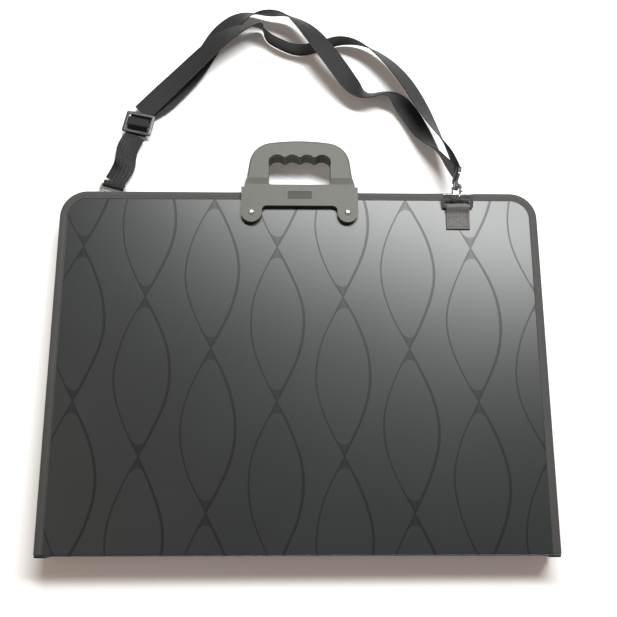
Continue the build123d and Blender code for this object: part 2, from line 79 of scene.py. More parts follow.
class Term:
    """One value in a shader, which adds Math nodes when it is used in an expression."""

    def __init__(self, canvas: "Canvas", socket: bpy.types.NodeSocket) -> None:
        """Wrap a socket.

        Args:
            canvas: The material that the socket belongs to.
            socket: The output socket that carries the value.
        """
        self.canvas = canvas
        self.socket = socket

    def _math(self, operation: str, *values: "Term | float", clamp: bool = False) -> "Term":
        """Add one Math node.

        Args:
            operation: The Math node's operation.
            values: Its inputs, in order.
            clamp: Whether the result is held between 0 and 1.

        Returns:
            The node's result.
        """
        node = self.canvas.node("ShaderNodeMath", {"operation": operation, "use_clamp": clamp},
                                dict(enumerate(values)))
        return Term(self.canvas, node.outputs[0])

    def __add__(self, other: "Term | float") -> "Term":
        """Sum of two values."""
        return self._math("ADD", self, other)

    def __sub__(self, other: "Term | float") -> "Term":
        """This value less another."""
        return self._math("SUBTRACT", self, other)

    def __rsub__(self, other: float) -> "Term":
        """A number less this value."""
        return self._math("SUBTRACT", other, self)

    def __mul__(self, other: "Term | float") -> "Term":
        """Product of two values."""
        return self._math("MULTIPLY", self, other)

    def __truediv__(self, other: "Term | float") -> "Term":
        """This value over another."""
        return self._math("DIVIDE", self, other)

    __radd__ = __add__
    __rmul__ = __mul__

    def __abs__(self) -> "Term":
        """Size without its sign."""
        return self._math("ABSOLUTE", self)

    def sine(self) -> "Term":
        """Sine of the value in radians."""
        return self._math("SINE", self)

    def nearest(self) -> "Term":
        """Nearest whole number."""
        return self._math("ROUND", self)

    def whole(self) -> "Term":
        """Whole number below."""
        return self._math("FLOOR", self)

    def remainder(self, step: float) -> "Term":
        """Part of the value past the last multiple of a step."""
        return self._math("FLOORED_MODULO", self, step)

    def power(self, exponent: float) -> "Term":
        """Value raised to an exponent."""
        return self._math("POWER", self, exponent)

    def smaller(self, other: "Term | float") -> "Term":
        """Smaller of two values."""
        return self._math("MINIMUM", self, other)

    def larger(self, other: "Term | float") -> "Term":
        """Larger of two values."""
        return self._math("MAXIMUM", self, other)

    def rise(self, low: float, high: float) -> "Term":
        """Smooth step from 0 at one value to 1 at another.

        Args:
            low: Where the step is 0.
            high: Where the step is 1, which may be the smaller.

        Returns:
            The step.
        """
        node = self.canvas.node("ShaderNodeMapRange",
                                {"interpolation_type": "SMOOTHSTEP", "clamp": True},
                                {"Value": self, "From Min": low, "From Max": high})
        return Term(self.canvas, node.outputs["Result"])


class Canvas:
    """A node material with one Principled shader."""

    def __init__(self, name: str) -> None:
        """Start an empty material of that name."""
        self.material = bpy.data.materials.new(name)
        self.material.use_nodes = True
        self.tree = self.material.node_tree
        self.shader = next(n for n in self.tree.nodes if n.type == "BSDF_PRINCIPLED")
        self.output = next(n for n in self.tree.nodes if n.type == "OUTPUT_MATERIAL")

    def node(self, kind: str, settings: dict | None = None,
             inputs: dict | None = None) -> bpy.types.Node:
        """Add a node.

        Args:
            kind: The node's type.
            settings: Properties that are set first.
            inputs: Socket names or numbers, with a value, a Term or a socket for each.

        Returns:
            The node.
        """
        node = self.tree.nodes.new(kind)
        for key, value in (settings or {}).items():
            setattr(node, key, value)
        for key, value in (inputs or {}).items():
            socket = node.inputs[key]
            if isinstance(value, Term):
                self.tree.links.new(value.socket, socket)
            elif isinstance(value, bpy.types.NodeSocket):
                self.tree.links.new(value, socket)
            else:
                socket.default_value = value
        return node

    def place(self) -> tuple[Term, Term, Term]:
        """Object coordinates x, y and z."""
        spot = self.node("ShaderNodeTexCoord").outputs["Object"]
        parts = self.node("ShaderNodeSeparateXYZ", None, {0: spot})
        return tuple(Term(self, parts.outputs[i]) for i in range(3))

    def cloth(self) -> tuple[Term, Term]:
        """A woven piece's own coordinates: metres across it and metres along it."""
        spot = self.node("ShaderNodeUVMap", {"uv_map": "UVMap"}).outputs["UV"]
        parts = self.node("ShaderNodeSeparateXYZ", None, {0: spot})
        return Term(self, parts.outputs[0]), Term(self, parts.outputs[1])

    def noise(self, scale: float, detail: float = 3.0, stretch: Point = (1, 1, 1)) -> Term:
        """Noise on Object coordinates.

        Args:
            scale: Grains per metre.
            detail: Layers of finer grain.
            stretch: Factors on each axis.

        Returns:
            A value about 0.5.
        """
        spot = self.node("ShaderNodeTexCoord").outputs["Object"]
        turned = self.node("ShaderNodeMapping", None, {"Vector": spot, "Scale": stretch})
        grain = self.node("ShaderNodeTexNoise", None,
                          {"Vector": turned.outputs[0], "Scale": scale, "Detail": detail})
        return Term(self, grain.outputs["Fac"])

    def mix(self, amount: Term, first: Sequence[float] | bpy.types.NodeSocket,
            second: Sequence[float]) -> bpy.types.NodeSocket:
        """Blend two colours.

        Args:
            amount: 0 for the first and 1 for the second.
            first: A colour, or a socket that carries one.
            second: A colour.

        Returns:
            The socket that carries the blend.
        """
        start = first if isinstance(first, bpy.types.NodeSocket) else (*first, 1)
        node = self.node("ShaderNodeMix", {"data_type": "RGBA"},
                         {0: amount, 6: start, 7: (*second, 1)})
        return node.outputs[2]

    def paint(self, colour: bpy.types.NodeSocket | Sequence[float],
              roughness: Term | float) -> None:
        """Set the colour and the roughness, each as a link or as one value."""
        for key, value in (("Base Color", colour), ("Roughness", roughness)):
            socket = self.shader.inputs[key]
            if isinstance(value, Term):
                self.tree.links.new(value.socket, socket)
            elif isinstance(value, bpy.types.NodeSocket):
                self.tree.links.new(value, socket)
            else:
                socket.default_value = (*value, 1) if key == "Base Color" else value

    def plain(self, values: dict[str, float]) -> None:
        """Set the shader's other sockets by name, each to one value."""
        for key, value in values.items():
            self.shader.inputs[key].default_value = value

    def relief(self, height: Term, depth: float, strength: float = 1.0) -> None:
        """Bump the surface.

        Args:
            height: From 0 to 1.
            depth: Metres that a height of 1 stands for.
            strength: Share of the effect.
        """
        bump = self.node("ShaderNodeBump", None,
                         {"Height": height, "Distance": depth, "Strength": strength})
        self.tree.links.new(bump.outputs[0], self.shader.inputs["Normal"])


# ---------------------------------------------------------------- finishes


@dataclass(frozen=True)
class SheetFinish:
    """Glossy polypropylene sheet, embossed with pairs of crossing waves on its outer face."""

    name: str = "embossed_sheet"
    colour: tuple[float, float, float] = (0.0168, 0.0195, 0.0196)
    line_colour: tuple[float, float, float] = (0.0075, 0.0085, 0.0086)
    roughness: float = 0.34
    gloss: float = 0.60
    column_pitch: float = 0.0871
    first_column: float = -0.2905
    swing: float = 0.036
    half_wave: float = 0.2085
    first_crossing: float = -0.085
    crossing_step: float = 0.0695
    waist: float = 0.0010
    line: float = 0.0025
    web: float = 0.015
    web_run: float = 0.028
    arch_half: float = 0.0215
    middle: float = 0.0283
    outer_face: float = 0.0173

    def waves(self, canvas: Canvas) -> Term:
        """The embossed lines.

        Args:
            canvas: The material.

        Returns:
            1 on a line and 0 off it.
        """
        x, y, z = canvas.place()
        wobble = (canvas.noise(9.0, 1.0) - 0.5) * 0.006
        along = (x - self.first_column) / self.column_pitch
        column = along.nearest()
        aside = (along - column) * self.column_pitch + wobble
        step = (y - self.first_crossing + column * self.crossing_step) / self.half_wave
        part = step.remainder(1.0)
        tip = (0.5 - abs(part - 0.5)) * self.half_wave
        edge = abs((step * math.pi).sine()) * self.swing + self.waist
        heavy = aside.rise(-0.004, 0.012) * 0.0016
        arch = ((tip - self.web).larger(0.0) / self.web_run).power(0.5) * self.arch_half
        hollow = arch.smaller(edge - self.line - heavy)
        away = abs(aside)
        line = (edge - away).rise(-0.0003, 0.0005) * (away - hollow).rise(-0.0003, 0.0005)
        line = line * (1.0 - (edge - away).rise(0.0022, 0.0045) * 0.2)
        outside = (abs(z - self.middle) - self.outer_face).rise(0.0, 0.0001)
        return line * outside

    def build(self) -> bpy.types.Material:
        """Make the material."""
        canvas = Canvas(self.name)
        lines = self.waves(canvas)
        smear = canvas.noise(7.0, 4.0)
        grain = canvas.noise(1400.0, 2.0)
        colour = canvas.mix(smear.rise(0.35, 0.75) * 0.35, self.colour,
                            tuple(c * 1.3 for c in self.colour))
        colour = canvas.mix(lines * 0.85, colour, self.line_colour)
        rough = (smear - 0.5) * 0.10 + self.roughness + lines * 0.06
        canvas.paint(colour, rough)
        canvas.plain({"Specular IOR Level": 0.2, "Coat Roughness": self.roughness})
        canvas.tree.links.new((self.gloss - lines * 0.38).socket, canvas.shader.inputs["Coat Weight"])
        canvas.relief(grain * 0.12 - lines, 0.0002, 0.18)
        return canvas.material


@dataclass(frozen=True)
class WebbingFinish:
    """Woven cloth on a piece's own coordinates: cords along it with wefts across."""

    name: str
    colour: tuple[float, float, float]
    cord_pitch: float = 0.0016
    weft_pitch: float = 0.0012
    depth: float = 0.00035
    roughness: float = 0.72
    sheen: float = 0.25
    chevron: float = 0.0
    shine: float = 0.5

    def build(self) -> bpy.types.Material:
        """Make the material."""
        canvas = Canvas(self.name)
        across, along = canvas.cloth()
        cord = across / self.cord_pitch
        lean = abs(cord.remainder(2.0) - 1.0) * self.chevron
        cords = (cord * math.pi).sine().power(2.0)
        wefts = ((along / self.weft_pitch + lean + cord.whole() * 0.5) * math.pi).sine().power(2.0)
        weave = cords * 0.55 + wefts * 0.45
        fuzz = canvas.noise(260.0, 4.0)
        worn = canvas.noise(18.0, 3.0)
        dark = tuple(c * 0.45 for c in self.colour)
        pale = tuple(c * 1.55 for c in self.colour)
        colour = canvas.mix(weave, dark, self.colour)
        colour = canvas.mix(weave * fuzz.rise(0.45, 0.8) * worn.rise(0.3, 0.7), colour, pale)
        canvas.paint(colour, (fuzz - 0.5) * 0.15 + self.roughness)
        canvas.plain({"Sheen Weight": self.sheen, "Sheen Roughness": 0.45,
                      "Specular IOR Level": self.shine})
        canvas.relief(weave + fuzz * 0.25, self.depth, 0.8)
        return canvas.material


@dataclass(frozen=True)
class MouldedFinish:
    """Satin moulded plastic with a fine spark-eroded grain."""

    name: str
    colour: tuple[float, float, float]
    roughness: float = 0.42
    grain: float = 2600.0
    depth: float = 0.00006
    shine: float = 0.5

    def build(self) -> bpy.types.Material:
        """Make the material."""
        canvas = Canvas(self.name)
        cloud = canvas.noise(30.0, 3.0)
        grain = canvas.noise(self.grain, 2.0)
        scuff = canvas.noise(90.0, 5.0, (1.0, 0.25, 1.0))
        colour = canvas.mix(cloud.rise(0.3, 0.75) * 0.4, self.colour,
                            tuple(c * 1.25 for c in self.colour))
        colour = canvas.mix(scuff.rise(0.66, 0.8) * 0.3, colour,
                            tuple(c * 1.8 for c in self.colour))
        canvas.paint(colour, (cloud - 0.5) * 0.12 + self.roughness + scuff.rise(0.6, 0.8) * 0.1)
        canvas.plain({"Specular IOR Level": self.shine})
        canvas.relief(grain, self.depth, 0.6)
        return canvas.material


@dataclass(frozen=True)
class MetalFinish:
    """Plated or enamelled metal with fine wear."""

    name: str
    colour: tuple[float, float, float]
    roughness: float = 0.2
    metallic: float = 1.0
    wear: float = 0.3

    def build(self) -> bpy.types.Material:
        """Make the material."""
        canvas = Canvas(self.name)
        haze = canvas.noise(160.0, 4.0)
        pits = canvas.noise(900.0, 2.0)
        colour = canvas.mix(haze.rise(0.35, 0.8) * self.wear, self.colour,
                            tuple(c * 0.6 for c in self.colour))
        canvas.paint(colour, haze.rise(0.3, 0.8) * 0.16 + self.roughness)
        canvas.plain({"Metallic": self.metallic})
        canvas.relief(haze * 0.6 + pits * 0.4, 0.00004, 0.5)
        return canvas.material


@dataclass(frozen=True)
class FloorFinish:
    """Pale matt floor that the camera and mirrors see as near white, with its shadows kept."""

    name: str = "studio_floor"
    colour: tuple[float, float, float] = (0.86, 0.87, 0.88)
    lift: float = 0.07

    def build(self) -> bpy.types.Material:
        """Make the material."""
        canvas = Canvas(self.name)
        canvas.paint(self.colour, 0.9)
        canvas.plain({"Specular IOR Level": 0.1})
        path = canvas.node("ShaderNodeLightPath")
        seen = Term(canvas, path.outputs["Is Camera Ray"]).larger(
            Term(canvas, path.outputs["Is Glossy Ray"])).larger(
            Term(canvas, path.outputs["Is Transmission Ray"]))
        glow = canvas.node("ShaderNodeEmission", None,
                           {"Color": (0.97, 1.0, 1.06, 1), "Strength": seen * self.lift})
        both = canvas.node("ShaderNodeAddShader", None,
                           {0: canvas.shader.outputs[0], 1: glow.outputs[0]})
        canvas.tree.links.new(both.outputs[0], canvas.output.inputs["Surface"])
        return canvas.material


class Finish(Enum):
    """The finishes that the pieces are dressed in."""

    SHEET = SheetFinish()
    BINDING = WebbingFinish("binding_tape", (0.046, 0.046, 0.045), 0.0009, 0.0011, 0.00018, 0.68, 0.3)
    ZIP_TAPE = WebbingFinish("zip_tape", (0.030, 0.030, 0.030), 0.0007, 0.0011, 0.00015, 0.8, 0.2)
    WEBBING = WebbingFinish("strap_webbing", (0.0072, 0.0070, 0.0080), 0.0025, 0.0014, 0.0004,
                            0.50, 0.03, 1.0, 0.30)
    # Painted sheen: the tab is the same black webbing as the strap, painted many times lighter to stand
    # in for the lamp's glare on it.
    TAB = WebbingFinish("tab_webbing_painted_sheen", (0.080, 0.079, 0.076), 0.0025, 0.0014, 0.0003, 0.5, 0.4, 1.0)
    THREAD = MouldedFinish("sewing_thread", (0.085, 0.078, 0.072), 0.6, 3000.0, 0.0001)
    STRAP_THREAD = MouldedFinish("strap_thread", (0.022, 0.021, 0.021), 0.6, 3000.0, 0.0001)
    COIL = MouldedFinish("zip_coil", (0.028, 0.028, 0.029), 0.35, 1500.0, 0.00003)
    HANDLE = MouldedFinish("handle_plastic", (0.088, 0.090, 0.082), 0.48, shine=0.2)
    LABEL = MouldedFinish("handle_recess", (0.052, 0.053, 0.050), 0.6, shine=0.2)
    RIVET = MetalFinish("polished_rivet", (0.92, 0.92, 0.92), 0.26, 1.0, 0.1)
    NICKEL = MetalFinish("nickel_plate", (0.36, 0.35, 0.35), 0.22)
    ADJUSTER = MetalFinish("black_enamel", (0.020, 0.020, 0.021), 0.30, 0.0, 0.3)
    ENAMEL = MetalFinish("dark_zip_metal", (0.10, 0.10, 0.105), 0.34, 0.85, 0.4)
    FLOOR = FloorFinish()

    @property
    def material(self) -> bpy.types.Material:
        """The finish's material, which is made once."""
        return bpy.data.materials.get(self.value.name) or self.value.build()


# ---------------------------------------------------------------- making and placing pieces


def dress(piece: bpy.types.Object, finish: Finish) -> None:
    """Give a piece one finish all over."""
    piece.data.materials.clear()
    piece.data.materials.append(finish.material)


def seat(piece: bpy.types.Object, body: str, slot: str, *nodes: str) -> bpy.types.Object:
    """Put a finished piece on its body.

    Args:
        piece: The piece, in place.
        body: The body that it rides on.
        slot: The record's material slot; not used.
        nodes: CAD nodes that it stands for.

    Returns:
        The piece.
    """
    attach(piece, body)
    if nodes:
        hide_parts(*nodes)
    log.info("%s rides on %s: %d faces", piece.name, body, len(piece.data.polygons))
    return piece


def new_piece(name: str, build: bmesh.types.BMesh, finish: Finish,
              smooth: float = 40.0) -> bpy.types.Object:
    """Turn mesh code's result into an object.

    Args:
        name: The piece's name.
        build: The mesh, which is freed.
        finish: Its finish.
        smooth: Edges sharper than this many degrees stay sharp.

    Returns:
        The object.
    """
    bmesh.ops.recalc_face_normals(build, faces=build.faces)
    mesh = bpy.data.meshes.new(name)
    build.to_mesh(mesh)
    build.free()
    mesh.shade_smooth()
    mesh.set_sharp_from_angle(angle=math.radians(smooth))
    piece = bpy.data.objects.new(name, mesh)
    bpy.context.scene.collection.objects.link(piece)
    dress(piece, finish)
    return piece


def join(name: str, pieces: Sequence[bpy.types.Object]) -> bpy.types.Object:
    """Merge pieces of one finish into the first of them."""
    build = bmesh.new()
    for piece in pieces:
        build.from_mesh(piece.data)
    mesh = bpy.data.meshes.new(name)
    build.to_mesh(mesh)
    build.free()
    for material in pieces[0].data.materials:
        mesh.materials.append(material)
    for piece in pieces:
        bpy.data.objects.remove(piece)
    whole = bpy.data.objects.new(name, mesh)
    bpy.context.scene.collection.objects.link(whole)
    return whole


def ordered(build: bmesh.types.BMesh) -> bmesh.types.BMesh:
    """Rebuild a mesh with its corners and faces in the order of their places.

    Rounding and dissolving edges leave them in an order that differs from run to run.

    Args:
        build: The mesh, which is freed.

    Returns:
        The same corners and faces, unmoved.
    """
    corners = sorted(build.verts, key=lambda corner: tuple(corner.co))
    rank = {corner: i for i, corner in enumerate(corners)}
    rings = [[rank[corner] for corner in face.verts] for face in build.faces]
    result = bmesh.new()
    placed = [result.verts.new(corner.co) for corner in corners]
    for ring in sorted(rings):
        result.faces.new([placed[i] for i in ring])
    build.free()
    result.normal_update()
    return result


def softened_copy(node: str, finish: Finish, width: float, segments: int = 3,
                  name: str | None = None,
                  crisp: Sequence[tuple[float, float, float, float]] = (),
                  flat_area: float = 1.0) -> bpy.types.Object:
    """Copy a CAD node and round its sharp edges.

    Args:
        node: The CAD node.
        finish: The copy's finish.
        width: The rounding's width in metres.
        segments: Faces across the rounding.
        name: The copy's name, if it isn't the node's.
        crisp: Areas seen from above, low x, low y, high x and high y, whose edges stay sharp.
        flat_area: Faces of this many square metres or more are shaded flat, and so are level ones.

    Returns:
        The copy, as an object of its own.
    """
    def kept(edge: bmesh.types.BMEdge) -> bool:
        """Whether an edge lies in one of the crisp areas."""
        spot = (edge.verts[0].co + edge.verts[1].co) / 2
        return any(x0 < spot.x < x1 and y0 < spot.y < y1 for x0, y0, x1, y1 in crisp)

    build = bmesh.new()
    build.from_mesh(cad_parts[node].data)
    bmesh.ops.remove_doubles(build, verts=build.verts, dist=1e-6)
    bmesh.ops.dissolve_limit(build, angle_limit=math.radians(1.0), verts=build.verts,
                             edges=build.edges)
    sharp = [e for e in build.edges if len(e.link_faces) == 2
             and e.calc_face_angle(0.0) > math.radians(32) and not kept(e)]
    bmesh.ops.bevel(build, geom=sharp, offset=width, offset_type="OFFSET", segments=segments,
                    profile=0.5, affect="EDGES", clamp_overlap=True)
    bmesh.ops.triangulate(build, faces=[f for f in build.faces if len(f.verts) > 4])
    piece = new_piece(name or f"{node}_rounded", ordered(build), finish, 50.0)
    for face in piece.data.polygons:
        level = flat_area < 1.0 and abs(face.normal.z) > 0.99995
        face.use_smooth = face.area < flat_area and not level
    return piece


def smooth_line(control: Sequence[Sequence[float]], steps: int = 12) -> list[Vector]:
    """Points of the smooth curve that a list of control points shapes.

    Args:
        control: The control points.
        steps: Points for each control point.

    Returns:
        Points along the curve.
    """
    curve = bpy.data.curves.new("route", "CURVE")
    curve.dimensions = "3D"
    curve.resolution_u = steps
    spline = curve.splines.new("NURBS")
    spline.points.add(len(control) - 1)
    for point, place in zip(spline.points, control):
        point.co = (*place, 1.0)
    spline.order_u = 3
    spline.use_endpoint_u = True
    holder = bpy.data.objects.new("route", curve)
    bpy.context.scene.collection.objects.link(holder)
    bpy.context.view_layer.update()
    mesh = bpy.data.meshes.new_from_object(holder.evaluated_get(
        bpy.context.evaluated_depsgraph_get()))
    points = [v.co.copy() for v in mesh.vertices]
    bpy.data.objects.remove(holder)
    bpy.data.curves.remove(curve)
    bpy.data.meshes.remove(mesh)
    return points


def web_profile(width: float, thickness: float) -> list[tuple[float, float]]:
    """Outline of flat webbing seen from its end: thicker selvedges and rounded edges."""
    half, flat = width / 2, thickness / 2
    thin = flat * 0.86
    top = [(-half + 0.35 * flat, flat * 0.8), (-half + 1.2 * flat, flat), (-half + 4 * flat, thin),
           (-half / 2, thin), (0.0, thin), (half / 2, thin), (half - 4 * flat, thin),
           (half - 1.2 * flat, flat), (half - 0.35 * flat, flat * 0.8)]
    below = [(x, -z) for x, z in reversed(top)]
    return [(-half, 0.0)] + top + [(half, 0.0)] + below


def sweep(path: Sequence[Vector], across: Sequence[Vector],
          profile: Sequence[tuple[float, float]]) -> bmesh.types.BMesh:
    """Carry a closed outline along a path.

    Args:
        path: The path's points.
        across: At each point, the direction of the outline's first coordinate.
        profile: The outline: metres across, and metres along the normal.

    Returns:
        The mesh, with a UV map in metres: across or round the outline, and along the path.
    """
    build = bmesh.new()
    layer = build.loops.layers.uv.new("UVMap")
    rings, travelled = [], [0.0]
    for i, place in enumerate(path):
        before, after = path[max(i - 1, 0)], path[min(i + 1, len(path) - 1)]
        forward = (after - before).normalized()
        side = (across[i] - forward * across[i].dot(forward)).normalized()
        normal = forward.cross(side)
        rings.append([build.verts.new(place + side * u + normal * w) for u, w in profile])
        if i:
            travelled.append(travelled[-1] + (place - path[i - 1]).length)
    count = len(profile)
    for i in range(len(path) - 1):
        for k in range(count):
            j = (k + 1) % count
            face = build.faces.new((rings[i][k], rings[i][j], rings[i + 1][j], rings[i + 1][k]))
            marks = ((profile[k][0], travelled[i]), (profile[j][0], travelled[i]),
                     (profile[j][0], travelled[i + 1]), (profile[k][0], travelled[i + 1]))
            for loop, mark in zip(face.loops, marks):
                loop[layer].uv = mark
    for ring, length in ((rings[0], 0.0), (rings[-1], travelled[-1])):
        face = build.faces.new(ring)
        for loop, (u, _) in zip(face.loops, profile):
            loop[layer].uv = (u, length)
    return build


def rounded_run(corners: Sequence[Sequence[float]], radius: float) -> list[Vector]:
    """A bent strip's centreline, with each corner rounded.

    Args:
        corners: The corners in order.
        radius: The rounding's radius.

    Returns:
        Points along the line.
    """
    places = [Vector(c) for c in corners]
    line = [places[0]]
    for before, here, after in zip(places[:-2], places[1:-1], places[2:]):
        back, on = before - here, after - here
        bend = math.pi - back.angle(on)
        reach = min(radius * math.tan(bend / 2), back.length * 0.49, on.length * 0.49)
        start, end = here + back.normalized() * reach, here + on.normalized() * reach
        for step in range(7):
            t = step / 6
            line.append(start * (1 - t) ** 2 + here * 2 * t * (1 - t) + end * t ** 2)
    return line + [places[-1]]


def lathe(centre: Vector, profile: Sequence[tuple[float, float]], facing: float,
          build: bmesh.types.BMesh, sides: int = 32) -> None:
    """Add a turned solid about Z.

    Args:
        centre: The foot of its axis.
        profile: Radius and height from foot to top, both ends on the axis.
        facing: 1 when it points up, and -1 when it points down.
        build: The mesh that it is added to.
        sides: Faces round it.
    """
    rings = []
    for radius, height in profile:
        z = centre.z + facing * height
        if radius == 0:
            rings.append([build.verts.new((centre.x, centre.y, z))] * sides)
        else:
            rings.append([build.verts.new((centre.x + radius * math.cos(2 * math.pi * k / sides),
                                           centre.y + radius * math.sin(2 * math.pi * k / sides), z))
                          for k in range(sides)])
    for low, high in zip(rings[:-1], rings[1:]):
        for k in range(sides):
            j = (k + 1) % sides
            corners = list(dict.fromkeys((low[k], low[j], high[j], high[k])))
            if len(corners) > 2:
                build.faces.new(corners)


# ---------------------------------------------------------------- repeated pieces


class Bead(Enum):
    """Shapes that are repeated along a line: their sides and rings."""

    STITCH = (6, 4)
    TOOTH = (8, 5)


@dataclass
class BeadRow:
    """Beads laid along lines at a set pitch by a node tree."""

    name: str
    bead: Bead
    pitch: float
    size: Point
    finish: Finish
    lean: float = 0.0

    def tree(self) -> bpy.types.NodeTree:
        """Build the node tree.

        Returns:
            The tree, with inputs named Pitch, Size and Lean.
        """
        group = bpy.data.node_groups.new(f"{self.name}_row", "GeometryNodeTree")
        face = group.interface
        face.new_socket("Geometry", in_out="INPUT", socket_type="NodeSocketGeometry")
        face.new_socket("Pitch", in_out="INPUT", socket_type="NodeSocketFloat")
        face.new_socket("Size", in_out="INPUT", socket_type="NodeSocketVector")
        face.new_socket("Lean", in_out="INPUT", socket_type="NodeSocketVector")
        face.new_socket("Geometry", in_out="OUTPUT", socket_type="NodeSocketGeometry")

        def add(kind: str, settings: dict | None = None,
                inputs: dict | None = None) -> bpy.types.Node:
            """Add a node with its settings first and its sockets after."""
            node = group.nodes.new(kind)
            for key, value in (settings or {}).items():
                setattr(node, key, value)
            for key, value in (inputs or {}).items():
                if isinstance(value, bpy.types.NodeSocket):
                    group.links.new(value, node.inputs[key])
                else:
                    node.inputs[key].default_value = value
            return node

        start = add("NodeGroupInput")
        curve = add("GeometryNodeMeshToCurve", None, {"Mesh": start.outputs["Geometry"]})
        points = add("GeometryNodeCurveToPoints", {"mode": "LENGTH"},
                     {"Curve": curve.outputs[0], "Length": start.outputs["Pitch"]})
        facing = add("FunctionNodeAlignRotationToVector", {"axis": "X", "pivot_axis": "AUTO"},
                     {"Vector": points.outputs["Tangent"]})
        tilt = add("FunctionNodeEulerToRotation", None, {0: start.outputs["Lean"]})
        turned = add("FunctionNodeRotateRotation", {"rotation_space": "LOCAL"},
                     {0: facing.outputs[0], 1: tilt.outputs[0]})
        sides, rings = self.bead.value
        bead = add("GeometryNodeMeshUVSphere", None,
                   {"Segments": sides, "Rings": rings, "Radius": 0.5})
        laid = add("GeometryNodeInstanceOnPoints", None,
                   {"Points": points.outputs["Points"], "Instance": bead.outputs["Mesh"],
                    "Rotation": turned.outputs[0], "Scale": start.outputs["Size"]})
        real = add("GeometryNodeRealizeInstances", None, {0: laid.outputs[0]})
        smooth = add("GeometryNodeSetShadeSmooth", None, {0: real.outputs[0]})
        painted = add("GeometryNodeSetMaterial", None,
                      {"Geometry": smooth.outputs[0], "Material": self.finish.material})
        end = add("NodeGroupOutput")
        group.links.new(painted.outputs[0], end.inputs[0])
        return group

    def lay(self, name: str, lines: Sequence[Sequence[Vector]]) -> bpy.types.Object:
        """Lay the beads.

        Args:
            name: The finished piece's name.
            lines: The lines to follow, each a list of points.

        Returns:
            One plain mesh with all the beads.
        """
        build = bmesh.new()
        for line in lines:
            spots = [build.verts.new(p) for p in line]
            for a, b in zip(spots[:-1], spots[1:]):
                build.edges.new((a, b))
        guide = bpy.data.meshes.new(f"{name}_guide")
        build.to_mesh(guide)
        build.free()
        holder = bpy.data.objects.new(f"{name}_guide", guide)
        bpy.context.scene.collection.objects.link(holder)
        modifier = holder.modifiers.new("row", "NODES")
        modifier.node_group = self.tree()
        values = {"Pitch": self.pitch, "Size": self.size, "Lean": (0.0, 0.0, self.lean)}
        for item in modifier.node_group.interface.items_tree:
            if item.in_out == "INPUT" and item.name in values:
                modifier[item.identifier] = values[item.name]
        bpy.context.view_layer.update()
        mesh = bpy.data.meshes.new_from_object(
            holder.evaluated_get(bpy.context.evaluated_depsgraph_get()))
        holder.modifiers.clear()
        bpy.data.objects.remove(holder)
        mesh.name = name
        piece = bpy.data.objects.new(name, mesh)
        bpy.context.scene.collection.objects.link(piece)
        dress(piece, self.finish)
        return piece


# ---------------------------------------------------------------- the case


